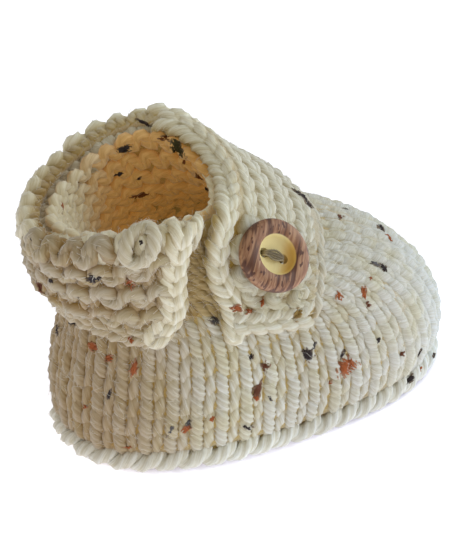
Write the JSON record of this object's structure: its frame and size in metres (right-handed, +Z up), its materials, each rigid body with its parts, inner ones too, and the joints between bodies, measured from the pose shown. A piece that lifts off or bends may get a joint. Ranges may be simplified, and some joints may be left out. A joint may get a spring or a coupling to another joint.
{
  "type": "baby shoe",
  "caption": "Hand-knitted baby bootie of flecked cream wool with a hollow upper, a turned-down garter cuff and a flap over the instep held by a wooden button.",
  "frame": {"origin": "on the floor under the middle of the sole's length and width", "axes": "+X to the toe, +Y to the shoe's left side, +Z up"},
  "size_m": [0.0978, 0.0611, 0.0662],
  "materials": {
    "sole_wool": "garter-stitch wool, matt",
    "upper_wool": "stocking-stitch wool with dark and rust flecks, matt",
    "cuff_wool": "garter-stitch wool with dark and rust flecks, matt",
    "button_wood": "oiled, satin",
    "thread": "sewing thread"
  },
  "bodies": {
    "root": {"sole": "sole_wool", "upper": "upper_wool", "cuff": "cuff_wool", "button": "button_wood", "button_thread": "thread"}
  },
  "joints": []
}
